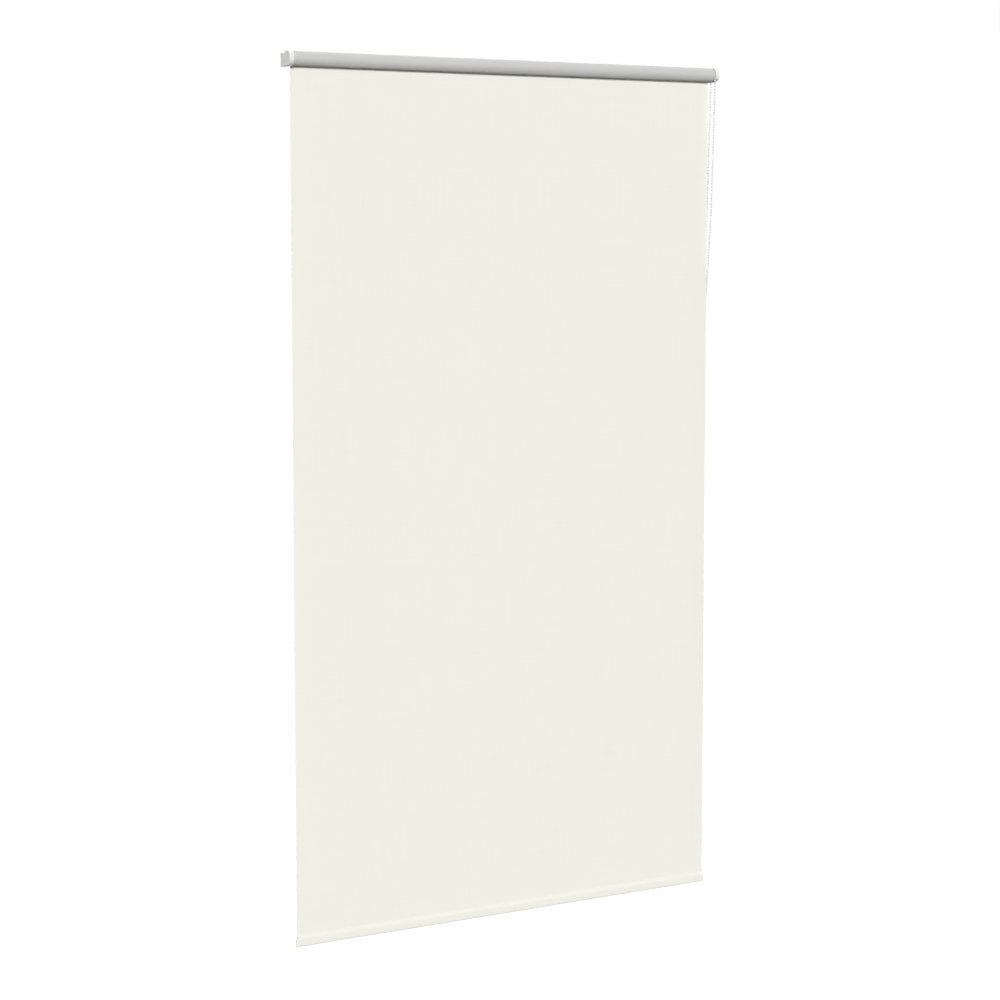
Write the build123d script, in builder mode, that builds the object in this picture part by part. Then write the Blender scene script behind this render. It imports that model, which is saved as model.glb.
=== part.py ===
from build123d import *
from math import cos, degrees, pi, radians, sin
import os

os.makedirs("parts", exist_ok=True)

# Blackout roller blind hung on a wall by two bracket plates, in millimetres.
# X runs along the tube towards the chain, Y into the wall, Z up.
# The origin lies on the wall, midway between the brackets, level with the tube's axis.

# Sizes of the whole blind
fabric_width = 969.0
blind_height = 1750.0
axis_from_wall = 27.3

# Fabric, and the turns of it that stay on the tube
fabric_t = 0.40
tape_t = 0.15
tape_width = 12.0
wrap_turns = 2
wrap_gap = 0.03
wrap_seat = 0.02

# Tube with two inner key ribs
tube_d = 25.0
tube_wall = 1.0
key_width = 2.4
key_height = 1.5

# Plugs that seat in the tube
plug_gap = 0.10
key_gap = 0.20
plug_flange_r = 12.9

# Bracket plates, and the covers over them
head_r = 15.0
base_depth = 12.0
base_top = 11.7
web_top = 9.4
cover_wall = 1.3
cover_chamfer = 0.7
plate_t = 1.5
plate_gap = 0.30
plate_to_cover = 0.10
bend_r = 1.0
leg_length = 26.0
screw_inset = 3.0
screw_spacing = 12.0
screw_hole_r = 2.25
left_cover_out = 13.8
left_cover_width = 9.8
right_cover_out = 9.8
right_cover_width = 9.0
chain_slot_gap = 1.2
edge_pick = 0.01

# Idle end: plug, sprung pin and spring
idle_plug_length = 32.0
idle_flange_t = 1.0
mouth_depth = 2.0
pin_r = 3.0
pin_fit = 0.05
pin_tip_gap = 0.20
pin_chamfer = 0.6
collar_r = 4.9
collar_t = 2.0
collar_gap = 0.05
spring_bore_r = 5.0
tail_r = 2.0
tail_length = 8.0
bore_cap_t = 4.0
bore_cap_gap = 0.02
pin_wire = 0.7
pin_coil_r = 3.7
pin_coil_turns = 6
coil_sides = 8
wire_sides = 6

# Chain drive: post, wheel, sleeve, wrap springs and clip
post_r = 4.0
post_flange_r = 6.0
post_flange_t = 0.5
post_square = 7.0
square_fit = 0.05
post_length = 24.0
post_chamfer = 0.6
running_fit = 0.05
end_play = 0.15
sleeve_flange_t = 0.65
wheel_gap = 0.10
wheel_width = 5.5
wheel_r = 8.6
finger_inner_r = 5.45
finger_outer_r = 6.55
finger_length = 17.0
finger_angle = 220.0
sleeve_bore_gap = 0.20
sleeve_rib_angle = 60.0
sleeve_core_r = 9.2
sleeve_ribs = 6
sleeve_rib_width = 2.6
sleeve_web_t = 3.0
sleeve_length = 30.0
clip_bore_r = 7.6
wrap_wire = 0.9
wrap_coil_turns = 5
wrap_coil_pitch = 1.0
wrap_grip_gap = 0.05
wrap_first = 2.0
wrap_between = 3.0
tang_r = 6.2
clip_t = 0.8
clip_outer_r = 5.8
clip_gap_angle = 70.0
clip_seat_r = 3.5
clip_fit = 0.05

# Ball chain
ball_pitch = 6.0
ball_d = 4.5
ball_sides = 6
ball_tip_gap = 0.04
cord_r = 0.7
pocket_count = 8
pocket_fit = 0.10
cord_slot = 2.5
cord_floor_gap = 0.16

# The chain's way down: a slack front strand and a taut back one, both tucked behind the fabric
chain_side_gap = 0.55
bulge_out = 3.3
bulge_front = 10.0
bulge_share = 0.55
front_tuck_share = 0.83
back_tuck_share = 0.50
link_share = 0.85
bulge_bend = 600.0
tuck_bend = 300.0
entry_bend = 100.0
loop_straight = 8.0
turn_trim = 0.05

# Chain tensioner behind the fabric's edge, and the chain's join
tensioner_inset = 4.0
tensioner_drop = 528.0
loop_r = 3.3
channel_gap = 0.30
tensioner_side = 1.4
tensioner_back = 1.4
tensioner_front = 1.2
tensioner_above = 14.0
tensioner_floor = 1.6
tensioner_chamfer = 1.0
tensioner_lug = 22.0
tensioner_lug_t = 2.5
tensioner_lug_chamfer = 3.0
tensioner_hole_r = 2.0
tensioner_holes_apart = 12.0
guide_pin_r = 0.7
guide_pin_fit = 0.02
link_length = 12.6
link_width = 6.4
link_depth = 5.8
link_ball_fit = 0.15
link_slot = 3.2
link_chamfer = 0.4

# Hem, weight bar and its end caps
hem_height = 25.0
bar_height = 16.0
bar_depth = 4.4
bar_wall = 0.9
bar_gap = 0.10
bar_short = 0.5
cap_t = 3.0
cap_plug_length = 8.0
cap_plug_gap = 0.08
cap_chamfer = 0.8

# Places that follow from the sizes
right_edge = fabric_width / 2
left_edge = -fabric_width / 2
axis_y = -axis_from_wall
tube_r = tube_d / 2
tube_bore_r = tube_r - tube_wall
plug_r = tube_bore_r - plug_gap
wrap_pitch = fabric_t + wrap_gap
wrap_arcs = 2 * wrap_turns
wrap_inner_r = tube_r + tape_t + wrap_seat + wrap_pitch / 4
wrap_outer_r = wrap_inner_r + fabric_t + wrap_pitch * (wrap_arcs - 1) / 2
roll_r = wrap_outer_r + wrap_pitch / 4
fabric_y = axis_y + roll_r - fabric_t / 2
hem_bottom = roll_r - blind_height
plate_inset = cover_wall + plate_gap

left_cover_x = left_edge - left_cover_out
left_plate_x = left_cover_x + cover_wall + plate_to_cover
right_cover_x = right_edge + right_cover_out
right_plate_x = right_cover_x - cover_wall - plate_to_cover
post_seat_x = right_plate_x - plate_t
wheel_left_x = right_edge + sleeve_flange_t + wheel_gap
wheel_x = wheel_left_x + wheel_width / 2

ball_r = ball_d / 2
pocket_ring_r = ball_pitch / 2 / sin(pi / pocket_count)
pocket_half = ball_r + pocket_fit
cord_floor_r = pocket_ring_r * cos(pi / pocket_count) - cord_r - cord_floor_gap


def across(x, y=axis_y, z=0):
    # A plane square to the tube at x, its own x towards the wall and its own y up
    return Plane(origin=(x, y, z), x_dir=(0, 1, 0), z_dir=(1, 0, 0))


def save(part, label):
    part.label = label
    export_step(part, f"parts/{label}.step")


# Roller tube: aluminium, with a key rib inside at the top and at the bottom
with BuildPart() as roller_tube:
    with BuildSketch(across(left_edge)):
        Circle(tube_r)
        Circle(tube_bore_r, mode=Mode.SUBTRACT)
        with Locations((0, tube_bore_r), (0, -tube_bore_r)):
            Rectangle(key_width, 2 * key_height)
        Circle(tube_r, mode=Mode.INTERSECT)
    extrude(amount=fabric_width)
save(roller_tube.part, "roller_tube")

# Adhesive strip under the fabric's inner end
with BuildPart() as fixing_tape:
    with BuildSketch(across(left_edge)):
        with BuildLine():
            tape_angle = degrees(tape_width / tube_r)
            low = CenterArc((0, 0), tube_r + wrap_seat / 2, -tape_angle, tape_angle)
            high = CenterArc((0, 0), tube_r + tape_t, -tape_angle, tape_angle)
            Line(low @ 0, high @ 0)
            Line(low @ 1, high @ 1)
        make_face()
    extrude(amount=fabric_width)
save(fixing_tape.part, "fixing_tape")

# The turns on the tube: a spiral of half circles about two centres, leaving the roll at the back
with BuildPart() as fabric_roll:
    with BuildSketch(across(left_edge)):
        with BuildLine():
            outer_arcs = []
            inner_arcs = []
            for k in range(wrap_arcs):
                centre = (wrap_pitch / 4 if k % 2 == 0 else -wrap_pitch / 4, 0)
                arc_r = wrap_outer_r - k * wrap_pitch / 2
                outer_arcs.append(CenterArc(centre, arc_r, 180 * k, 180))
                inner_arcs.append(CenterArc(centre, arc_r - fabric_t, 180 * k, 180))
            Line(outer_arcs[0] @ 0, inner_arcs[0] @ 0)
            Line(outer_arcs[-1] @ 1, inner_arcs[-1] @ 1)
        make_face()
    extrude(amount=fabric_width)
save(fabric_roll.part, "fabric_roll")

# Hanging sheet, from the back of the roll down to the hem
with BuildPart() as fabric_sheet:
    with BuildSketch(Plane.XY.offset(hem_bottom + hem_height)):
        with Locations((0, fabric_y)):
            Rectangle(fabric_width, fabric_t)
    extrude(amount=-hem_bottom - hem_height)
save(fabric_sheet.part, "fabric_sheet")

# Hem: a pocket round the bar, with the two layers welded together above it
pocket_height = bar_height + 2 * bar_gap
pocket_depth = bar_depth + 2 * bar_gap
bar_z = hem_bottom + fabric_t + pocket_height / 2
with BuildPart() as fabric_hem:
    with BuildSketch(across(left_edge, fabric_y, bar_z)):
        SlotOverall(pocket_height + 2 * fabric_t, pocket_depth + 2 * fabric_t, rotation=90)
        with Locations((0, hem_bottom + hem_height - bar_z)):
            Rectangle(2 * fabric_t, hem_height - pocket_height, align=(Align.CENTER, Align.MAX))
        SlotOverall(pocket_height, pocket_depth, rotation=90, mode=Mode.SUBTRACT)
    extrude(amount=fabric_width)
save(fabric_hem.part, "fabric_hem")

# Weight bar: a hollow flat oval
bar_length = fabric_width - 2 * bar_short
with BuildPart() as bottom_bar:
    with BuildSketch(across(left_edge + bar_short, fabric_y, bar_z)):
        SlotOverall(bar_height, bar_depth, rotation=90)
        SlotOverall(bar_height - 2 * bar_wall, bar_depth - 2 * bar_wall, rotation=90, mode=Mode.SUBTRACT)
    extrude(amount=bar_length)
save(bottom_bar.part, "bottom_bar")

# Bar caps: a rounded end plate on a plug
plug_inset = 2 * bar_wall + 2 * cap_plug_gap
for side, label in ((-1, "bottom_bar_cap_left"), (1, "bottom_bar_cap_right")):
    bar_end = side * bar_length / 2
    with BuildPart() as cap:
        with BuildSketch(across(bar_end, fabric_y, bar_z)):
            SlotOverall(bar_height, bar_depth, rotation=90)
        extrude(amount=side * cap_t)
        rim = cap.faces().sort_by(Axis.X)[-1 if side > 0 else 0]
        chamfer(rim.edges(), length=cap_chamfer)
        with BuildSketch(across(bar_end, fabric_y, bar_z)):
            SlotOverall(bar_height - plug_inset, bar_depth - plug_inset, rotation=90)
        extrude(amount=-side * cap_plug_length)
    save(cap.part, label)


def bracket_outline(inset):
    # Round head on the tube's axis, a web and a taller block at the wall, all set in by inset
    depth = axis_from_wall
    Circle(head_r - inset)
    low = inset - head_r
    with Locations((depth, low)):
        Rectangle(depth, web_top - inset - low, align=(Align.MAX, Align.MIN))
        Rectangle(base_depth - inset, base_top - inset - low, align=(Align.MAX, Align.MIN))


def bracket_cover(face_x, width, side):
    # A shell closed on its outer side; side is 1 where the cover opens towards the right
    with BuildPart() as cover:
        with BuildSketch(across(face_x)):
            bracket_outline(0)
        extrude(amount=side * width)
        outer_face = cover.faces().filter_by(Axis.X).sort_by(Axis.X)[0 if side > 0 else -1]
        round_edges = outer_face.edges().filter_by(Axis.Z, reverse=True)
        chamfer(round_edges, length=cover_chamfer)
        with BuildSketch(across(face_x + side * cover_wall)):
            bracket_outline(cover_wall)
        extrude(amount=side * width, mode=Mode.SUBTRACT)
    return cover.part


# Idle end cover, and the drive end cover with a slot below for the chain
save(bracket_cover(left_cover_x, left_cover_width, 1), "left_bracket_cover")
slot_half = pocket_ring_r + ball_r + chain_slot_gap
slot_width = right_cover_width - cover_wall
with BuildPart() as right_bracket_cover:
    add(bracket_cover(right_cover_x, right_cover_width, -1))
    with Locations((right_cover_x - cover_wall - slot_width / 2, axis_y, -head_r)):
        Box(slot_width, 2 * slot_half, head_r, mode=Mode.SUBTRACT)
save(right_bracket_cover.part, "right_bracket_cover")


def bracket_plate(outer_x, side):
    # A bent steel plate: the cheek carries the tube, the leg lies on the wall behind the roll
    leg_low = plate_inset - head_r
    leg_high = base_top - plate_inset
    screw_x = -side * (right_edge - screw_inset)
    with BuildPart() as plate:
        with BuildSketch(across(outer_x)):
            bracket_outline(plate_inset)
        extrude(amount=side * plate_t)
        with BuildSketch(Plane.XY.offset(leg_low)):
            with Locations((outer_x, 0)):
                near = Align.MIN if side > 0 else Align.MAX
                Rectangle(leg_length, plate_t, align=(near, Align.MAX))
        extrude(amount=leg_high - leg_low)
        upright = plate.edges().filter_by(Axis.Z)
        inner = upright.filter_by_position(Axis.Y, -plate_t - edge_pick, -plate_t + edge_pick)
        bend = inner.sort_by(lambda e: abs(e.center().X - outer_x - side * plate_t))[0]
        fillet(bend, radius=bend_r)
        back = plate.edges().filter_by(Axis.Z).filter_by_position(Axis.Y, -edge_pick, edge_pick)
        heel = back.sort_by(lambda e: abs(e.center().X - outer_x))[0]
        fillet(heel, radius=bend_r)
        with BuildSketch(Plane.XZ):
            with Locations((screw_x, 0)):
                with GridLocations(0, screw_spacing, 1, 2):
                    Circle(screw_hole_r)
        extrude(amount=plate_t, mode=Mode.SUBTRACT)
    return plate.part


# Idle end plate, with a round hole for the sprung pin
with BuildPart() as left_bracket:
    add(bracket_plate(left_plate_x, 1))
    with BuildSketch(across(left_plate_x)):
        Circle(pin_r + pin_fit)
    extrude(amount=plate_t, mode=Mode.SUBTRACT)
save(left_bracket.part, "left_bracket")

# Drive end plate, with a square hole that keys the post
with BuildPart() as right_bracket:
    add(bracket_plate(right_plate_x, -1))
    with BuildSketch(across(right_plate_x)):
        Rectangle(post_square + 2 * square_fit, post_square + 2 * square_fit)
    extrude(amount=-plate_t, mode=Mode.SUBTRACT)
save(right_bracket.part, "right_bracket")


def key_slots():
    # Slots in a plug for the tube's two key ribs
    slot_depth = key_height + key_gap
    with Locations((0, tube_bore_r), (0, -tube_bore_r)):
        Rectangle(key_width + 2 * key_gap, 2 * slot_depth, mode=Mode.SUBTRACT)


# Idle plug: flange at the tube's end, pin hole in its mouth, spring bore behind
with BuildPart() as idle_plug:
    with BuildSketch(across(left_edge)):
        Circle(plug_r)
        key_slots()
    extrude(amount=idle_plug_length)
    with BuildSketch(across(left_edge)):
        Circle(plug_flange_r)
    extrude(amount=-idle_flange_t)
    with BuildSketch(across(left_edge + mouth_depth)):
        Circle(spring_bore_r)
    extrude(amount=idle_plug_length, mode=Mode.SUBTRACT)
    with BuildSketch(across(left_edge - idle_flange_t)):
        Circle(pin_r + pin_fit)
    extrude(amount=idle_plug_length, mode=Mode.SUBTRACT)
save(idle_plug.part, "idle_plug")

# Cap that closes the spring bore
spring_end_x = left_edge + idle_plug_length - bore_cap_t
with BuildPart() as idle_plug_cap:
    with BuildSketch(across(spring_end_x)):
        Circle(spring_bore_r - bore_cap_gap)
    extrude(amount=bore_cap_t)
save(idle_plug_cap.part, "idle_plug_cap")

# Sprung pin: tip in the bracket, collar behind the mouth, tail inside the spring
pin_tip_x = left_plate_x + pin_tip_gap
collar_x = left_edge + mouth_depth + collar_gap
with BuildPart() as idle_pin:
    with BuildSketch(across(pin_tip_x)):
        Circle(pin_r)
    extrude(amount=collar_x - pin_tip_x)
    chamfer(idle_pin.faces().sort_by(Axis.X)[0].edges(), length=pin_chamfer)
    with BuildSketch(across(collar_x)):
        Circle(collar_r)
    extrude(amount=collar_t)
    with BuildSketch(across(collar_x + collar_t)):
        Circle(tail_r)
    extrude(amount=tail_length)
save(idle_pin.part, "idle_pin")


def coil_points(start_x, length, turns, radius):
    # Corners of a coil wound about the tube's axis
    points = []
    for i in range(turns * coil_sides + 1):
        angle = 2 * pi * i / coil_sides
        x = start_x + length * i / (turns * coil_sides)
        points.append((x, axis_y + radius * cos(angle), radius * sin(angle)))
    return points


def coil(points, wire):
    # Wire swept along a coil's corners
    with BuildPart() as spring:
        with BuildLine() as path:
            Polyline(*points)
        with BuildSketch(Plane(origin=path.line @ 0, x_dir=(1, 0, 0), z_dir=path.line % 0)):
            RegularPolygon(wire / 2, wire_sides)
        sweep(path=path.line, transition=Transition.RIGHT)
    return spring.part


# Compression spring behind the pin's collar
pin_coil_start = collar_x + collar_t + pin_wire
pin_coil_length = spring_end_x - pin_coil_start - pin_wire
save(coil(coil_points(pin_coil_start, pin_coil_length, pin_coil_turns, pin_coil_r), pin_wire), "pin_spring")

# Fixed post: square end in the bracket, thin flange, journal that runs into the tube
clip_x = right_edge - finger_length - sleeve_web_t - clip_t - end_play
post_end_x = right_edge - post_length
with BuildPart() as clutch_post:
    with BuildSketch(across(post_seat_x)):
        Rectangle(post_square, post_square)
    extrude(amount=plate_t)
    with BuildSketch(across(post_seat_x)):
        Circle(post_flange_r)
    extrude(amount=-post_flange_t)
    with BuildSketch(across(post_seat_x)):
        Circle(post_r)
    extrude(amount=post_end_x - post_seat_x)
    chamfer(clutch_post.faces().sort_by(Axis.X)[0].edges(), length=post_chamfer)
    with BuildSketch(across(clip_x - clip_fit)):
        Circle(post_r)
        Circle(clip_seat_r, mode=Mode.SUBTRACT)
    extrude(amount=clip_t + 2 * clip_fit, mode=Mode.SUBTRACT)
save(clutch_post.part, "clutch_post")

# Clip in the post's groove, open on one side
with BuildPart() as post_clip:
    with BuildSketch(across(clip_x)):
        with BuildLine():
            opening = clip_gap_angle / 2
            inside = CenterArc((0, 0), clip_seat_r + clip_fit, 270 + opening, 360 - clip_gap_angle)
            outside = CenterArc((0, 0), clip_outer_r, 270 + opening, 360 - clip_gap_angle)
            Line(inside @ 0, outside @ 0)
            Line(inside @ 1, outside @ 1)
        make_face()
    extrude(amount=clip_t)
save(post_clip.part, "post_clip")

# Drive sleeve: flange against the tube's end, ribs that fill the tube, a web that runs on the post
sleeve_bore_r = finger_outer_r + sleeve_bore_gap
with BuildPart() as drive_sleeve:
    with BuildSketch(across(right_edge)):
        Circle(sleeve_core_r)
        with PolarLocations((plug_r + sleeve_bore_r) / 2, sleeve_ribs, start_angle=180 / sleeve_ribs):
            Rectangle(plug_r - sleeve_bore_r, sleeve_rib_width)
        Circle(plug_r, mode=Mode.INTERSECT)
        key_slots()
    extrude(amount=-sleeve_length)
    with BuildSketch(across(right_edge)):
        Circle(plug_flange_r)
    extrude(amount=sleeve_flange_t)
    with BuildSketch(across(right_edge + sleeve_flange_t)):
        Circle(sleeve_bore_r)
    extrude(amount=-sleeve_flange_t - finger_length, mode=Mode.SUBTRACT)
    with BuildSketch(across(right_edge)):
        Circle(post_r + running_fit)
    extrude(amount=-sleeve_length, mode=Mode.SUBTRACT)
    with BuildSketch(across(right_edge - sleeve_length)):
        Circle(clip_bore_r)
    extrude(amount=sleeve_length - finger_length - sleeve_web_t, mode=Mode.SUBTRACT)
    with BuildSketch(across(right_edge - finger_length)):
        with BuildLine():
            rib_start = 270 - sleeve_rib_angle / 2
            rib_inside = CenterArc((0, 0), finger_inner_r, rib_start, sleeve_rib_angle)
            rib_outside = CenterArc((0, 0), sleeve_bore_r + sleeve_bore_gap, rib_start, sleeve_rib_angle)
            Line(rib_inside @ 0, rib_outside @ 0)
            Line(rib_inside @ 1, rib_outside @ 1)
        make_face()
    extrude(amount=finger_length)
save(drive_sleeve.part, "drive_sleeve")

# Chain wheel: eight ball pockets, a slot for the cord between the balls, and a finger into the sleeve
with BuildPart() as chain_wheel:
    with BuildSketch(across(wheel_left_x)):
        Circle(wheel_r)
    extrude(amount=wheel_width)
    with BuildSketch(across(wheel_left_x)):
        with BuildLine():
            finger_start = 90 - finger_angle / 2
            finger_in = CenterArc((0, 0), finger_inner_r, finger_start, finger_angle)
            finger_out = CenterArc((0, 0), finger_outer_r, finger_start, finger_angle)
            Line(finger_in @ 0, finger_out @ 0)
            Line(finger_in @ 1, finger_out @ 1)
        make_face()
    extrude(amount=-finger_length - sleeve_flange_t)
    with BuildSketch(across(wheel_left_x)):
        Circle(post_r + running_fit)
    extrude(amount=wheel_width, mode=Mode.SUBTRACT)
    with BuildSketch(across(wheel_x - cord_slot / 2)):
        Circle(2 * wheel_r)
        Circle(cord_floor_r, mode=Mode.SUBTRACT)
    extrude(amount=cord_slot, mode=Mode.SUBTRACT)
    for k in range(pocket_count):
        angle = 2 * pi * k / pocket_count
        floor_r = pocket_ring_r - ball_r
        floor = (wheel_x, axis_y + floor_r * cos(angle), floor_r * sin(angle))
        with BuildSketch(Plane(origin=floor, x_dir=(1, 0, 0), z_dir=(0, cos(angle), sin(angle)))):
            Rectangle(2 * pocket_half, 2 * pocket_half)
        extrude(amount=wheel_r, mode=Mode.SUBTRACT)
save(chain_wheel.part, "chain_wheel")

# Wrap springs on the post, each with a tang on both sides of the sleeve's rib
wrap_coil_r = (post_r + wrap_grip_gap + wrap_wire / 2) / cos(pi / coil_sides)
wrap_length = wrap_coil_turns * wrap_coil_pitch
tang_angle = radians((360 - finger_angle - sleeve_rib_angle) / 4 + sleeve_rib_angle / 2)


def wrap_spring(start_x):
    # The coil starts and ends at a tang that points outwards, either side of straight down
    spread = 2 * pi * wrap_coil_turns - 2 * tang_angle
    corners = wrap_coil_turns * coil_sides
    points = []
    for i in range(corners + 1):
        angle = tang_angle - pi / 2 + spread * i / corners
        x = start_x - wrap_length * i / corners
        points.append((x, axis_y + wrap_coil_r * cos(angle), wrap_coil_r * sin(angle)))
    reach = tang_r / wrap_coil_r
    tips = [(x, axis_y + (y - axis_y) * reach, z * reach) for x, y, z in (points[0], points[-1])]
    points = [tips[0], *points, tips[1]]
    return coil(points, wrap_wire)


outer_wrap_x = right_edge - wrap_first
inner_wrap_x = outer_wrap_x - wrap_length - wrap_between
save(wrap_spring(outer_wrap_x), "clutch_spring_outer")
save(wrap_spring(inner_wrap_x), "clutch_spring_inner")

# One ball of the chain in flat faces, drawn out to a point half way along the cord either side of it
with BuildPart() as ball:
    with BuildSketch() as belt:
        RegularPolygon(ball_r, ball_sides)
    loft(sections=[belt.face(), Vertex(0, 0, (ball_pitch - ball_tip_gap) / 2)], ruled=True)
    mirror(about=Plane.XY)

# The chain's route: down in front of the wheel, round the guide's pin and up at the back
tensioner_x = right_edge - tensioner_inset
outer_x = tensioner_x + loop_r
inner_x = tensioner_x - loop_r
loop_y = -tensioner_back - channel_gap - ball_r
loop_top = loop_straight - tensioner_drop
loop_floor = -tensioner_drop - loop_r
beside_x = right_edge + ball_r + chain_side_gap
beside_y = fabric_y + ball_r + chain_side_gap
route_points = [
    (wheel_x, axis_y - pocket_ring_r, 0),
    (right_edge + bulge_out, fabric_y - bulge_front, -tensioner_drop * bulge_share),
    (beside_x, beside_y, -tensioner_drop * front_tuck_share),
    (outer_x, loop_y, loop_top),
    (outer_x, loop_y, loop_floor),
    (inner_x, loop_y, loop_floor),
    (inner_x, loop_y, loop_top),
    (beside_x, beside_y, -tensioner_drop * back_tuck_share),
    (wheel_x, axis_y + pocket_ring_r, 0),
]
turn_r = loop_r - turn_trim
route_bends = [bulge_bend, tuck_bend, entry_bend, turn_r, turn_r, entry_bend, tuck_bend]
with BuildLine() as route_line:
    FilletPolyline(*route_points, radius=route_bends)
route = route_line.wire()

# Balls along the route, then the ones that lie in the wheel's upper pockets
places = []
intervals = round(route.length / ball_pitch)
for i in range(intervals + 1):
    share = i / intervals
    places.append(Plane(origin=route @ share, x_dir=(1, 0, 0), z_dir=route % share))
for k in range(1, pocket_count // 2):
    angle = 2 * pi * k / pocket_count
    seat = (wheel_x, axis_y + pocket_ring_r * cos(angle), pocket_ring_r * sin(angle))
    places.append(Plane(origin=seat, x_dir=(1, 0, 0), z_dir=(0, -sin(angle), cos(angle))))
ball_chain = Compound([ball.part.moved(place.location) for place in places])
save(ball_chain, "ball_chain")

# Snap link round the chain's two end balls, on the back strand behind the fabric
link_index = min(
    range(intervals // 2, intervals),
    key=lambda i: abs((route @ ((i + 0.5) / intervals)).Z + tensioner_drop * link_share),
)
link_at = (link_index + 0.5) / intervals
link_plane = Plane(origin=route @ link_at, x_dir=(1, 0, 0), z_dir=route % link_at)
seat_half = ball_r + link_ball_fit
with BuildPart() as chain_connector:
    with BuildSketch(link_plane):
        Rectangle(link_width, link_depth)
    extrude(amount=link_length / 2, both=True)
    chamfer(chain_connector.edges(), length=link_chamfer)
    for shift in (-ball_pitch / 2, ball_pitch / 2):
        with BuildSketch(link_plane.offset(shift)):
            with Locations((seat_half, 0)):
                Rectangle(link_width + 2 * seat_half, 2 * seat_half, align=(Align.MAX, Align.CENTER))
        extrude(amount=seat_half, both=True, mode=Mode.SUBTRACT)
    with BuildSketch(link_plane):
        with Locations((seat_half / 2, 0)):
            Rectangle(link_width + 2 * seat_half, link_slot, align=(Align.MAX, Align.CENTER))
    extrude(amount=link_length / 2, both=True, mode=Mode.SUBTRACT)
save(chain_connector.part, "chain_connector")

# Chain tensioner: a box on the wall, open on top, with a screw lug below
channel_width = 2 * loop_r + ball_d + 2 * channel_gap
channel_depth = ball_d + 2 * channel_gap
tensioner_width = channel_width + 2 * tensioner_side
tensioner_depth = tensioner_back + channel_depth + tensioner_front
channel_top = tensioner_above - tensioner_drop
channel_floor = loop_floor - ball_r - channel_gap
lug_bottom = channel_floor - tensioner_floor - tensioner_lug
hole_z = lug_bottom + tensioner_lug / 2
with BuildPart() as chain_tensioner:
    with BuildSketch(Plane.XY.offset(channel_floor - tensioner_floor)):
        with Locations((tensioner_x, 0)):
            Rectangle(tensioner_width, tensioner_depth, align=(Align.CENTER, Align.MAX))
    extrude(amount=channel_top - channel_floor + tensioner_floor)
    foremost = chain_tensioner.edges().filter_by(Axis.Z).group_by(Axis.Y)[0]
    chamfer(foremost, length=tensioner_chamfer)
    with BuildSketch(Plane.XY.offset(channel_floor)):
        with Locations((tensioner_x, -tensioner_back)):
            Rectangle(channel_width, channel_depth, align=(Align.CENTER, Align.MAX))
    extrude(amount=channel_top - channel_floor, mode=Mode.SUBTRACT)
    with BuildSketch(Plane.XZ):
        with Locations((tensioner_x, lug_bottom)):
            Rectangle(tensioner_width, tensioner_lug, align=(Align.CENTER, Align.MIN))
    extrude(amount=tensioner_lug_t)
    lowest = chain_tensioner.edges().filter_by(Axis.Y).group_by(Axis.Z)[0]
    chamfer(lowest, length=tensioner_lug_chamfer)
    with BuildSketch(Plane.XZ):
        with Locations((tensioner_x, hole_z)):
            with GridLocations(0, tensioner_holes_apart, 1, 2):
                Circle(tensioner_hole_r)
    extrude(amount=tensioner_lug_t, mode=Mode.SUBTRACT)
    with BuildSketch(Plane.XZ):
        with Locations((tensioner_x, -tensioner_drop)):
            Circle(guide_pin_r + guide_pin_fit)
    extrude(amount=tensioner_depth, mode=Mode.SUBTRACT)
save(chain_tensioner.part, "chain_tensioner")

# Steel pin that the loop passes under
with BuildPart() as tensioner_pin:
    with BuildSketch(Plane.XZ):
        with Locations((tensioner_x, -tensioner_drop)):
            Circle(guide_pin_r)
    extrude(amount=tensioner_depth)
save(tensioner_pin.part, "tensioner_pin")

print("roll radius", roll_r, "fabric plane", fabric_y, "hem bottom", hem_bottom)
print("chain balls", len(places), "spacing", route.length / intervals)
print("guide screws", tensioner_x, hole_z)
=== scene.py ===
import bpy
import bmesh
from math import acos, atan2, cos, pi, radians, sin
from mathutils import Matrix, Vector


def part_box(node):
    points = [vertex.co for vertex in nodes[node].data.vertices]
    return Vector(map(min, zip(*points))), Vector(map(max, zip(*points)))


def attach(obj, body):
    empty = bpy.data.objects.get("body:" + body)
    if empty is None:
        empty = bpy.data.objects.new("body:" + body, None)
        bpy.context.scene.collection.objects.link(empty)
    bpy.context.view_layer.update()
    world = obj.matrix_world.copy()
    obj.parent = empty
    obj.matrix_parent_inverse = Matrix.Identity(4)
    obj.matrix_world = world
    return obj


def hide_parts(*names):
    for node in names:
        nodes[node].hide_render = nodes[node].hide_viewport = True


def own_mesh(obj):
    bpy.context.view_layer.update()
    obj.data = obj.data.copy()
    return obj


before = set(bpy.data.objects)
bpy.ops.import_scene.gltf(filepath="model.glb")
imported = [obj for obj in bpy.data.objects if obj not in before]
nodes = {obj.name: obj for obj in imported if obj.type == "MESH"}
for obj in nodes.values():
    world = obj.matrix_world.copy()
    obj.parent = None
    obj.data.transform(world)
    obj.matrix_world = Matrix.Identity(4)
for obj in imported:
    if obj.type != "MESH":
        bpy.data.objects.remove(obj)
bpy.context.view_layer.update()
mm = 0.001
print("frame loaded")

# Camera to the left of the blind and a little below the tube, turned down by a few degrees
cameraSet = {
    "place": (-2.4319, -4.1904, -0.3353), "yaw": 29.98, "pitch": -5.40,
    "lens": 85.66, "shiftY": -0.04, "reach": 100,
}


def makeCamera(c):
    data = bpy.data.cameras.new("viewCamera")
    camera = bpy.data.objects.new("viewCamera", data)
    bpy.context.scene.collection.objects.link(camera)
    data.lens = c["lens"]
    data.shift_y = c["shiftY"]
    data.clip_end = c["reach"]
    camera.location = c["place"]
    camera.rotation_euler = (radians(90 + c["pitch"]), 0, radians(-c["yaw"]))
    bpy.context.scene.camera = camera


makeCamera(cameraSet)
print("camera placed")


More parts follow.
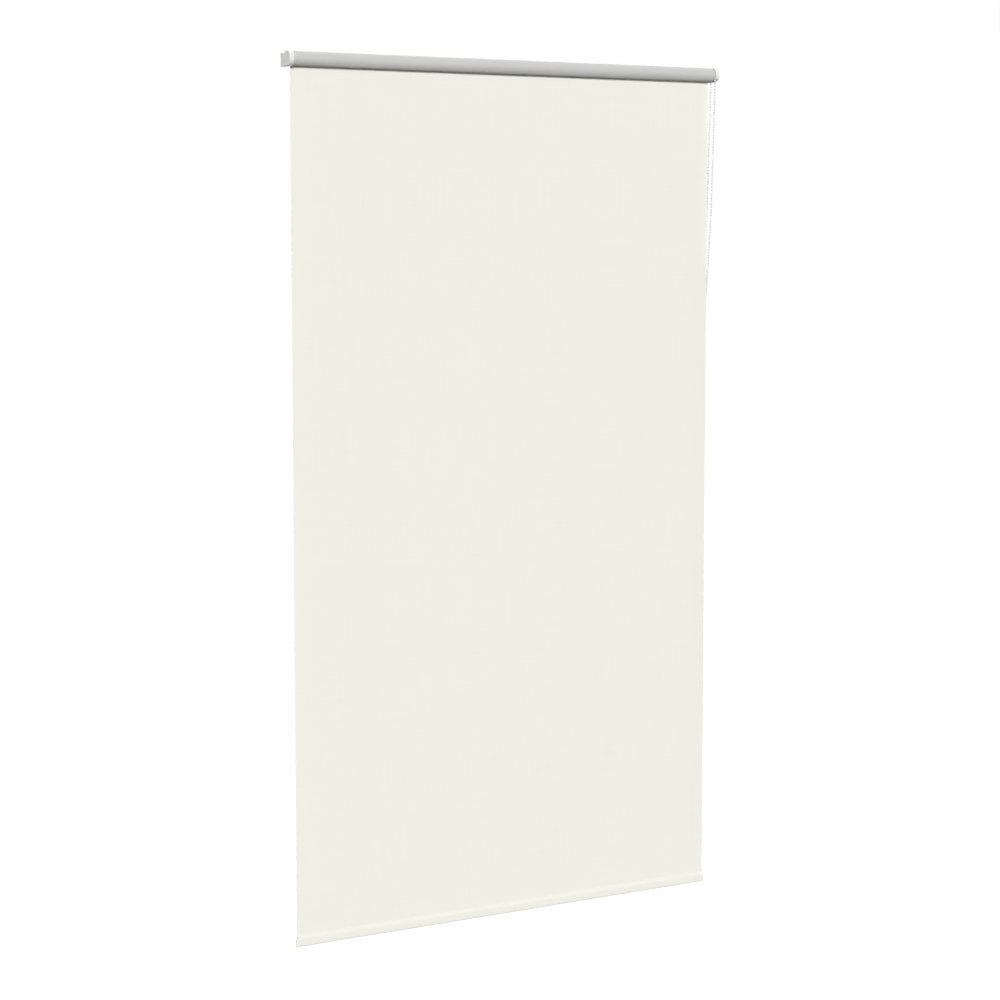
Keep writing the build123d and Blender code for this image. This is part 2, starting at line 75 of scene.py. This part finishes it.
# Colours are written as sRGB hex and turned to linear
def colour(code):
    parts = [int(code[i:i + 2], 16) / 255 for i in (0, 2, 4)]
    return [p / 12.92 if p <= 0.04045 else ((p + 0.055) / 1.055) ** 2.4 for p in parts] + [1]


def addNode(mat, kind, values=None, links=None, **props):
    node = mat.node_tree.nodes.new(kind)
    for name, value in props.items():
        setattr(node, name, value)
    for name, value in (values or {}).items():
        node.inputs[name].default_value = value
    for name, socket in (links or {}).items():
        mat.node_tree.links.new(socket, node.inputs[name])
    return node


def newMaterial(name, code, roughness, metallic=0.0, ior=1.5):
    mat = bpy.data.materials.new(name)
    mat.use_nodes = True
    mat.diffuse_color = colour(code)
    shader = mat.node_tree.nodes["Principled BSDF"]
    shader.inputs["Base Color"].default_value = colour(code)
    shader.inputs["Roughness"].default_value = roughness
    shader.inputs["Metallic"].default_value = metallic
    shader.inputs["IOR"].default_value = ior
    return mat, shader


def tint(mat, shader, factor, low, high):
    # mixes two near colours by a pattern and feeds the base colour
    mix = addNode(mat, "ShaderNodeMix", {6: colour(low), 7: colour(high)}, {0: factor}, data_type="RGBA")
    mat.node_tree.links.new(mix.outputs[2], shader.inputs["Base Color"])


def relief(mat, shader, height, depth, strength):
    # bump of the given depth in metres
    bump = addNode(mat, "ShaderNodeBump", {"Strength": strength, "Distance": depth}, {"Height": height})
    mat.node_tree.links.new(bump.outputs["Normal"], shader.inputs["Normal"])


def spread(mat, shader, factor, low, high):
    # roughness between two values, following a pattern
    ramp = addNode(mat, "ShaderNodeMapRange", {"To Min": low, "To Max": high}, {"Value": factor})
    mat.node_tree.links.new(ramp.outputs["Result"], shader.inputs["Roughness"])


threadSpacing = 0.9 * mm  # twice the real 0.45 mm, so that the weave shows from near


def weave(mat, source):
    # plain weave, where warp and weft come up in turn, as a height between 0 and 1
    parts = addNode(mat, "ShaderNodeSeparateXYZ", links={"Vector": source})
    waves = []
    for axis in ("X", "Y"):
        lines = {0: parts.outputs[axis]}
        turn = addNode(mat, "ShaderNodeMath", {1: 2 * pi / threadSpacing}, lines, operation="MULTIPLY")
        wave = addNode(mat, "ShaderNodeMath", links={0: turn.outputs[0]}, operation="SINE")
        waves.append(wave.outputs[0])
    cross = addNode(mat, "ShaderNodeMath", links={0: waves[0], 1: waves[1]}, operation="MULTIPLY")
    raised = addNode(mat, "ShaderNodeMath", {1: 0.5, 2: 0.5}, {0: cross.outputs[0]}, operation="MULTIPLY_ADD")
    return raised.outputs[0]


# Woven polyester, room side: matt cream yarn, slubs a little lighter and darker across and down
yarn = {
    "colour": "F0F0E6", "tints": ("EAEADF", "F5F5EC"), "rough": 0.85, "sheen": 0.12, "sheenRough": 0.5,
    "slubs": ((6, 900, 1), (900, 6, 1)), "slubDetail": 3.0,
    "weaveShare": 0.6, "depth": 0.06 * mm, "strength": 0.6,
}


def wovenPolyester(y):
    mat, shader = newMaterial("wovenPolyester", y["colour"], y["rough"])
    place = addNode(mat, "ShaderNodeUVMap").outputs["UV"]
    slubs = {}
    for socket, scale in enumerate(y["slubs"]):
        lines = addNode(mat, "ShaderNodeMapping", {"Scale": scale}, {"Vector": place}).outputs["Vector"]
        values = {"Scale": 1.0, "Detail": y["slubDetail"]}
        slubs[socket] = addNode(mat, "ShaderNodeTexNoise", values, {"Vector": lines}).outputs[0]
    both = addNode(mat, "ShaderNodeMath", links=slubs, operation="ADD")
    slub = addNode(mat, "ShaderNodeMath", {1: 0.5}, {0: both.outputs[0]}, operation="MULTIPLY").outputs[0]
    tint(mat, shader, slub, *y["tints"])
    waves = {0: weave(mat, place), 2: slub}
    lift = addNode(mat, "ShaderNodeMath", {1: y["weaveShare"]}, waves, operation="MULTIPLY_ADD")
    relief(mat, shader, lift.outputs[0], y["depth"], y["strength"])
    shader.inputs["Sheen Weight"].default_value = y["sheen"]
    shader.inputs["Sheen Roughness"].default_value = y["sheenRough"]
    return mat


# Acrylic foam coating on cloth, wall side: smooth light grey with a low satin gloss and faint roller marks
foam = {
    "colour": "C8C8C6", "tints": ("C4C4C1", "CDCDCB"), "rough": 0.55, "roughSpan": (0.48, 0.62), "ior": 1.47,
    "streaks": (3, 60, 1), "marks": 4.0, "markDetail": 4.0, "depth": 0.015 * mm, "strength": 0.5,
}


def foamCoating(c):
    mat, shader = newMaterial("foamCoating", c["colour"], c["rough"], ior=c["ior"])
    place = addNode(mat, "ShaderNodeUVMap").outputs["UV"]
    streaks = addNode(mat, "ShaderNodeMapping", {"Scale": c["streaks"]}, {"Vector": place}).outputs["Vector"]
    values = {"Scale": c["marks"], "Detail": c["markDetail"]}
    marks = addNode(mat, "ShaderNodeTexNoise", values, {"Vector": streaks}).outputs[0]
    tint(mat, shader, marks, *c["tints"])
    spread(mat, shader, marks, *c["roughSpan"])
    relief(mat, shader, weave(mat, place), c["depth"], c["strength"])
    return mat


# Injection-moulded plastics: satin and softly mottled, with the 0.5 mm grain of a spark-eroded mould
mould = {"grain": 1800.0, "flow": 40.0, "detail": 2.0, "depth": 0.02 * mm, "strength": 0.35}
# ABS: white, satin
satinAbs = {"colour": "ECECEA", "tints": ("E8E8E6", "F0F0EE"), "roughSpan": (0.36, 0.46), "ior": 1.53}
# Nylon: off-white, slightly waxy
waxyNylon = {"colour": "E6E6E0", "tints": ("E1E1DA", "EBEBE5"), "roughSpan": (0.44, 0.56), "ior": 1.53}
# Acetal balls moulded on a polyester cord: white with a soft shine
ballAcetal = {"colour": "DBDBDA", "tints": ("D6D6D5", "E1E1E0"), "roughSpan": (0.24, 0.34), "ior": 1.48}


def mouldedPlastic(name, p):
    mat, shader = newMaterial(name, p["colour"], sum(p["roughSpan"]) / 2, ior=p["ior"])
    place = addNode(mat, "ShaderNodeTexCoord").outputs["Object"]
    patterns = []
    for scale in (mould["grain"], mould["flow"]):
        values = {"Scale": scale, "Detail": mould["detail"]}
        patterns.append(addNode(mat, "ShaderNodeTexNoise", values, {"Vector": place}).outputs[0])
    grain, flow = patterns
    tint(mat, shader, flow, *p["tints"])
    spread(mat, shader, grain, *p["roughSpan"])
    relief(mat, shader, grain, mould["depth"], mould["strength"])
    return mat


# Zinc-plated pressed steel: bright grey with fine rolling lines and cloudy plating
plate = {
    "colour": "B9BCC0", "tints": ("AEB2B6", "C6C8CB"), "rough": 0.34, "roughSpan": (0.26, 0.44),
    "lines": (40, 40, 2500), "cloud": 160.0, "detail": 3.0, "depth": 0.01 * mm, "strength": 0.4,
}


def platedSteel(p):
    mat, shader = newMaterial("platedSteel", p["colour"], p["rough"], metallic=1.0)
    place = addNode(mat, "ShaderNodeTexCoord").outputs["Object"]
    lines = addNode(mat, "ShaderNodeMapping", {"Scale": p["lines"]}, {"Vector": place}).outputs["Vector"]
    values = {"Scale": 1.0, "Detail": p["detail"]}
    rolled = addNode(mat, "ShaderNodeTexNoise", values, {"Vector": lines}).outputs[0]
    values = {"Scale": p["cloud"], "Detail": p["detail"]}
    cloud = addNode(mat, "ShaderNodeTexNoise", values, {"Vector": place}).outputs[0]
    tint(mat, shader, cloud, *p["tints"])
    spread(mat, shader, rolled, *p["roughSpan"])
    relief(mat, shader, rolled, p["depth"], p["strength"])
    return mat


# Mill-finish extruded aluminium: pale metal with die lines along its length
extrusion = {
    "colour": "CED0D2", "tints": ("C4C6C8", "D8DADC"), "rough": 0.4, "roughSpan": (0.32, 0.5),
    "lines": (2, 2200, 2200), "detail": 2.0, "depth": 0.01 * mm, "strength": 0.4,
}


def extrudedAluminium(e):
    mat, shader = newMaterial("extrudedAluminium", e["colour"], e["rough"], metallic=1.0)
    place = addNode(mat, "ShaderNodeTexCoord").outputs["Object"]
    lines = addNode(mat, "ShaderNodeMapping", {"Scale": e["lines"]}, {"Vector": place}).outputs["Vector"]
    values = {"Scale": 1.0, "Detail": e["detail"]}
    die = addNode(mat, "ShaderNodeTexNoise", values, {"Vector": lines}).outputs[0]
    tint(mat, shader, die, *e["tints"])
    spread(mat, shader, die, *e["roughSpan"])
    relief(mat, shader, die, e["depth"], e["strength"])
    return mat


# Drawn spring wire: darker bright steel with fine scratches from the die
springWire = {
    "colour": "8E9196", "tints": ("84878C", "9B9EA3"), "rough": 0.3, "roughSpan": (0.22, 0.4),
    "scratches": 2500.0, "detail": 2.0,
}


def drawnWire(w):
    mat, shader = newMaterial("drawnWire", w["colour"], w["rough"], metallic=1.0)
    place = addNode(mat, "ShaderNodeTexCoord").outputs["Object"]
    values = {"Scale": w["scratches"], "Detail": w["detail"]}
    scratch = addNode(mat, "ShaderNodeTexNoise", values, {"Vector": place}).outputs[0]
    tint(mat, shader, scratch, *w["tints"])
    spread(mat, shader, scratch, *w["roughSpan"])
    return mat


# Adhesive film: thin, slightly amber, shiny
film = {
    "colour": "DDD8C4", "tints": ("D5CFB8", "E4E0CF"), "rough": 0.25, "ior": 1.49,
    "clouds": 90.0, "detail": 3.0,
}


def adhesiveFilm(f):
    mat, shader = newMaterial("adhesiveFilm", f["colour"], f["rough"], ior=f["ior"])
    place = addNode(mat, "ShaderNodeTexCoord").outputs["Object"]
    values = {"Scale": f["clouds"], "Detail": f["detail"]}
    wet = addNode(mat, "ShaderNodeTexNoise", values, {"Vector": place}).outputs[0]
    tint(mat, shader, wet, *f["tints"])
    return mat


finishes = {
    "cloth": wovenPolyester(yarn),
    "coating": foamCoating(foam),
    "abs": mouldedPlastic("mouldedAbs", satinAbs),
    "steel": platedSteel(plate),
    "aluminium": extrudedAluminium(extrusion),
    "wire": drawnWire(springWire),
    "nylon": mouldedPlastic("mouldedNylon", waxyNylon),
    "acetal": mouldedPlastic("mouldedAcetal", ballAcetal),
    "film": adhesiveFilm(film),
}
print("materials made")


def addPiece(name, bm, finishNames, body, replaced=(), sharpAngle=35, strips=()):
    # strips are eased edges, shaded apart from the flat faces beside them
    for face in bm.faces:
        face.smooth = True
    for edge in bm.edges:
        alike = len({face in strips for face in edge.link_faces}) == 1
        edge.smooth = alike and not edge.is_boundary and edge.calc_face_angle(0) < radians(sharpAngle)
    mesh = bpy.data.meshes.new(name)
    bm.to_mesh(mesh)
    bm.free()
    for f in finishNames:
        mesh.materials.append(finishes[f])
    piece = bpy.data.objects.new(name, mesh)
    bpy.context.scene.collection.objects.link(piece)
    if replaced:
        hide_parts(*replaced)
    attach(piece, body)
    return piece


# Rigid mouldings and pressings: the CAD form with its sharp edges eased, by the last number of a row in mm
easing = {"mergeGap": 1e-6, "flatAngle": 0.4, "edgeAngle": 28, "parts": 2, "smoothAngle": 60}
edgeWork = {
    "leftCover": ("left_bracket_cover", "abs", "wall_side", "cover_plastic", 0.45),
    "rightCover": ("right_bracket_cover", "abs", "wall_side", "cover_plastic", 0.45),
    "leftPlate": ("left_bracket", "steel", "wall_side", "zinc_steel", 0.15),
    "rightPlate": ("right_bracket", "steel", "wall_side", "zinc_steel", 0.15),
    "chainGuide": ("chain_tensioner", "acetal", "wall_side", "chain_plastic", 0.3),
    "chainLink": ("chain_connector", "acetal", "wall_side", "chain_plastic", 0.25),
    "leftBarCap": ("bottom_bar_cap_left", "abs", "bar", "cap_plastic", 0.3),
    "rightBarCap": ("bottom_bar_cap_right", "abs", "bar", "cap_plastic", 0.3),
}


def easeEdges(name, node, finish, body, slot, width):
    bm = bmesh.new()
    bm.from_mesh(nodes[node].data)
    bmesh.ops.remove_doubles(bm, verts=bm.verts[:], dist=easing["mergeGap"])
    flat = radians(easing["flatAngle"])
    bmesh.ops.dissolve_limit(bm, angle_limit=flat, verts=bm.verts[:], edges=bm.edges[:])
    sharp = [e for e in bm.edges if e.is_manifold and e.calc_face_angle() > radians(easing["edgeAngle"])]
    eased = bmesh.ops.bevel(
        bm, geom=sharp, offset=width * mm, segments=easing["parts"], profile=0.5, affect="EDGES",
        clamp_overlap=True, material=-1,
    )
    addPiece(name, bm, [finish], body, [node], easing["smoothAngle"], set(eased["faces"]))


for name, work in edgeWork.items():
    easeEdges(name, *work)
print("mouldings and pressings eased")

# CAD nodes that keep their shape and get their finish
carried = {
    "roller_tube": "aluminium",
    "bottom_bar": "aluminium",
    "fixing_tape": "film",
    "idle_plug": "nylon",
    "idle_plug_cap": "nylon",
    "idle_pin": "nylon",
    "clutch_post": "nylon",
    "drive_sleeve": "nylon",
    "chain_wheel": "nylon",
    "clutch_spring_outer": "wire",
    "clutch_spring_inner": "wire",
    "post_clip": "wire",
    "tensioner_pin": "wire",
}
for node, finish in carried.items():
    nodes[node].data.materials.clear()
    nodes[node].data.materials.append(finishes[finish])
print("carried pieces finished")

# Pin spring: the CAD coil as a piece of its own
springBm = bmesh.new()
springBm.from_mesh(nodes["pin_spring"].data)
bmesh.ops.remove_doubles(springBm, verts=springBm.verts[:], dist=easing["mergeGap"])
springPiece = addPiece(
    "pinSpring", springBm, ["wire"], "tube", ["pin_spring"], easing["smoothAngle"]
)
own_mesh(springPiece)
print("spring seated")

# The cloth: one strip of fabric, on the roll, hanging, and folded round the bar
cloth = {
    "thick": 0.4 * mm, "turnGap": 0.03 * mm, "acrossParts": 48, "hangParts": 90,
    "halfTurns": 4, "halfTurnParts": 32,
}
sheetLow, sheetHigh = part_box("fabric_sheet")
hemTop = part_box("fabric_hem")[1].z
barLow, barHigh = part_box("bottom_bar")
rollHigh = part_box("fabric_roll")[1]
tubeLow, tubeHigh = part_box("roller_tube")
axisY = (tubeLow.y + tubeHigh.y) / 2
clothY = (sheetLow.y + sheetHigh.y) / 2
clothHalf = sheetHigh.x


def clothStrip(path, outward):
    # a strip laid along a path in the (y, z) plane, with its UV in metres of cloth; it starts as a unit grid
    rows = len(path) - 1
    bm = bmesh.new()
    uv = bm.loops.layers.uv.new("cloth")
    bmesh.ops.create_grid(bm, x_segments=cloth["acrossParts"], y_segments=rows, size=0.5)
    lengths = [0.0]
    for a, b in zip(path, path[1:]):
        lengths.append(lengths[-1] + (Vector(b) - Vector(a)).length)
    along = {}
    for v in bm.verts:
        row = round((v.co.y + 0.5) * rows)
        across = v.co.x * 2 * clothHalf
        along[v] = (across, lengths[row])
        v.co = (across, *path[row])
    for face in bm.faces:
        for loop in face.loops:
            loop[uv].uv = along[loop.vert]
    bm.normal_update()
    middle = bm.faces[:][len(bm.faces) // 2]
    if middle.normal.dot(outward(middle.calc_center_median())) < 0:
        bmesh.ops.reverse_faces(bm, faces=bm.faces[:])
    return bm


def finishCloth(bm, name, faceFinish, backFinish, body, replaced):
    piece = addPiece(name, bm, [faceFinish, backFinish], body, replaced)
    wall = piece.modifiers.new("clothWall", "SOLIDIFY")
    wall.thickness = cloth["thick"]
    wall.offset = 0
    wall.material_offset = 1  # the other side of the cloth; its cut edges keep the first finish
    return piece


# Turns left on the tube: half circles about two centres, each a little smaller than the last
def rollPath():
    step = cloth["thick"] + cloth["turnGap"]
    outerR = rollHigh.z - cloth["thick"] / 2
    path = []
    for k in range(cloth["halfTurns"]):
        centre = axisY + (step / 4 if k % 2 == 0 else -step / 4)
        radius = outerR - k * step / 2
        for i in range(cloth["halfTurnParts"] + (k == cloth["halfTurns"] - 1)):
            angle = pi * (k + i / cloth["halfTurnParts"])
            path.append((centre + radius * cos(angle), radius * sin(angle)))
    return path


rollBm = clothStrip(rollPath(), lambda p: Vector((0, p.y - axisY, p.z)))
finishCloth(rollBm, "rollCloth", "coating", "cloth", "tube", ["fabric_roll"])
print("roll wound")

# Hanging sheet: nearly flat, with slow waves, and its side edges cupped a little towards the wall
hang = {
    "cup": 0.8 * mm, "cupReach": 60 * mm, "swell": 0.5 * mm, "fade": 90 * mm, "keep": 0.018,
    "waveAcross": (9.0, 1.3), "waveDown": (2.1, 0.4),  # turn in radians a metre, and its start
}


def hangPath():
    length = sheetHigh.z - sheetLow.z
    return [(clothY, sheetHigh.z - length * i / cloth["hangParts"]) for i in range(cloth["hangParts"] + 1)]


sheetBm = clothStrip(hangPath(), lambda p: Vector((0, -1, 0)))
rateX, startX = hang["waveAcross"]
rateZ, startZ = hang["waveDown"]
for v in sheetBm.verts:
    edge = max(0.0, 1 - (clothHalf - abs(v.co.x)) / hang["cupReach"])
    ends = min(1.0, (sheetHigh.z - v.co.z) / hang["fade"], (v.co.z - sheetLow.z) / hang["fade"])
    wave = sin(v.co.x * rateX + startX) * sin(v.co.z * rateZ + startZ)
    v.co.y += ends * (hang["cup"] * edge * edge + hang["swell"] * wave)
sheetPiece = finishCloth(
    sheetBm, "sheetCloth", "cloth", "coating", "wall_side", ["fabric_sheet"]
)


# Hem: one fold of cloth, down through the pressed weld, round the bar and up behind to the weld again
hem = {
    "slack": 0.1 * mm, "weldTop": 1.2 * mm, "weldDrop": 3.2 * mm, "weldDent": 0.09 * mm, "weldEase": 0.3 * mm,
    "backEdge": 0.42 * mm, "turnParts": 20, "sideParts": 6,
}
# the cloth's middle turns round the bar at hemR, about two centres over and under it
hemGap = hem["slack"] + cloth["thick"] / 2
hemR = (barHigh.y - barLow.y) / 2 + hemGap
highTurn = barHigh.z + hemGap - hemR
lowTurn = barLow.z - hemGap + hemR


def hemPath():
    layer = cloth["thick"] / 2
    pressed = layer - hem["weldDent"]
    weldZ = hemTop - hem["weldDrop"]
    reach = Vector((layer, weldZ - highTurn)).length
    lean = acos(hemR / reach) + atan2(layer, weldZ - highTurn)  # where the cloth first lies on the round turn
    front = [(-pressed, hemTop - hem["weldTop"]), (-pressed, weldZ + hem["weldEase"]), (-layer, weldZ)]
    for i in range(hem["sideParts"] + 1):
        angle = lean + (pi / 2 - lean) * i / hem["sideParts"]
        front.append((-hemR * sin(angle), highTurn + hemR * cos(angle)))
    under = []
    for i in range(hem["turnParts"] + 1):
        angle = pi * i / hem["turnParts"]
        under.append((-hemR * cos(angle), lowTurn - hemR * sin(angle)))
    back = [(-y, z) for y, z in reversed(front)]
    path = [(0, hemTop), *front, *under, *back, (hem["backEdge"], hemTop - hem["weldEase"])]
    return [(clothY + y, z) for y, z in path]


hemBm = clothStrip(hemPath(), lambda p: Vector((0, p.y - clothY, p.z - highTurn)))
hemPiece = finishCloth(hemBm, "hemCloth", "cloth", "coating", "bar", ["fabric_hem"])
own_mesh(sheetPiece)
print("sheet and hem hung")

# Ball chain: a round ball and a length of cord at each place in the CAD chain
chain = {
    "ballR": 2.25 * mm, "around": 10, "rings": 6, "cordR": 0.62 * mm, "cordSides": 6, "cordLength": 6.05 * mm,
    "tipReach": 1.95 * mm,
}


def chainPlaces():
    # centre and direction of each ball, from the tip of its double cone
    bm = bmesh.new()
    bm.from_mesh(nodes["ball_chain"].data)
    bmesh.ops.remove_doubles(bm, verts=bm.verts[:], dist=easing["mergeGap"])
    seen = set()
    places = []
    for first in bm.verts:
        if first in seen:
            continue
        seen.add(first)
        island = [first]
        for v in island:
            for e in v.link_edges:
                other = e.other_vert(v)
                if other not in seen:
                    seen.add(other)
                    island.append(other)
        centre = sum((v.co for v in island), Vector()) / len(island)
        tip = max(island, key=lambda v: (v.co - centre).length).co
        end = [v.co for v in island if (v.co - tip).length < chain["tipReach"]]
        axis = (sum(end, Vector()) / len(end) - centre).normalized()
        places.append((centre, axis))
    bm.free()
    return places


chainBm = bmesh.new()
for centre, axis in chainPlaces():
    turn = Matrix.Translation(centre) @ axis.to_track_quat("Z", "X").to_matrix().to_4x4()
    bmesh.ops.create_uvsphere(
        chainBm, u_segments=chain["around"], v_segments=chain["rings"], radius=chain["ballR"], matrix=turn
    )
    bmesh.ops.create_cone(
        chainBm, cap_ends=True, segments=chain["cordSides"], radius1=chain["cordR"], radius2=chain["cordR"],
        depth=chain["cordLength"], matrix=turn,
    )
addPiece(
    "ballChain", chainBm, ["acetal"], "wall_side", ["ball_chain"], easing["smoothAngle"]
)
print("chain strung")

# Floor below the blind and white all round
stageSet = {"floorZ": -2.6, "floorHalf": 80.0, "paint": "303030", "matt": 0.9, "white": 1.13, "share": 0.9}
worldSet = {"light": 0.22, "white": 1.0}


def makeFloor(s):
    bm = bmesh.new()
    place = Matrix.Translation((0, 0, s["floorZ"]))
    bmesh.ops.create_grid(bm, x_segments=1, y_segments=1, size=s["floorHalf"], matrix=place)
    mesh = bpy.data.meshes.new("studioFloor")
    bm.to_mesh(mesh)
    bm.free()
    floor = bpy.data.objects.new("studioFloor", mesh)
    bpy.context.scene.collection.objects.link(floor)
    mat, shader = newMaterial("floorPaint", s["paint"], s["matt"])
    share = addNode(mat, "ShaderNodeMath", {1: s["share"]}, {0: seenRays(mat)}, operation="MULTIPLY")
    white = addNode(mat, "ShaderNodeEmission", {"Color": (1, 1, 1, 1), "Strength": s["white"]})
    blend = {0: share.outputs[0], 1: shader.outputs[0], 2: white.outputs[0]}
    mix = addNode(mat, "ShaderNodeMixShader", links=blend)
    mat.node_tree.links.new(mix.outputs[0], mat.node_tree.nodes["Material Output"].inputs["Surface"])
    mesh.materials.append(mat)


def seenRays(mat):
    # 1 for rays that the eye follows, straight or mirrored, and 0 for those that carry light
    rays = addNode(mat, "ShaderNodeLightPath")
    straight = {0: rays.outputs["Is Camera Ray"], 1: rays.outputs["Is Glossy Ray"]}
    mirrored = addNode(mat, "ShaderNodeMath", links=straight, operation="MAXIMUM")
    through = {0: mirrored.outputs[0], 1: rays.outputs["Is Transmission Ray"]}
    return addNode(mat, "ShaderNodeMath", links=through, operation="MAXIMUM").outputs[0]


def makeWorld(s):
    world = bpy.data.worlds.new("studioWorld")
    bpy.context.scene.world = world
    world.use_nodes = True
    back = world.node_tree.nodes["Background"]
    values = {"To Min": s["light"], "To Max": s["white"]}
    power = addNode(world, "ShaderNodeMapRange", values, {"Value": seenRays(world)})
    back.inputs["Color"].default_value = (1, 1, 1, 1)
    world.node_tree.links.new(power.outputs["Result"], back.inputs["Strength"])


# Wide soft lamps, far off, so that the tall sheet is lit evenly. In degrees, turn is how far a lamp stands
# round to the right from the front, rise how far above level, and soft how wide it looks
lamps = {
    "keyLamp": {"turn": -27, "rise": 12, "level": 0.933, "soft": 10},
    "topLamp": {"turn": 180, "rise": 65, "level": 0.36, "soft": 40},
    "backLamp": {"turn": 160, "rise": 12, "level": 0.52, "soft": 30},
    "rightLamp": {"turn": 115, "rise": 15, "level": 0.45, "soft": 50},
}


def makeLamp(name, s):
    data = bpy.data.lights.new(name, "SUN")
    data.energy = s["level"] * pi
    data.angle = radians(s["soft"])
    lamp = bpy.data.objects.new(name, data)
    bpy.context.scene.collection.objects.link(lamp)
    lamp.rotation_euler = (radians(90 - s["rise"]), 0, radians(s["turn"]))


makeFloor(stageSet)
makeWorld(worldSet)
for name, settings in lamps.items():
    makeLamp(name, settings)
bpy.context.scene.view_settings.view_transform = "Standard"
print("stage lit")
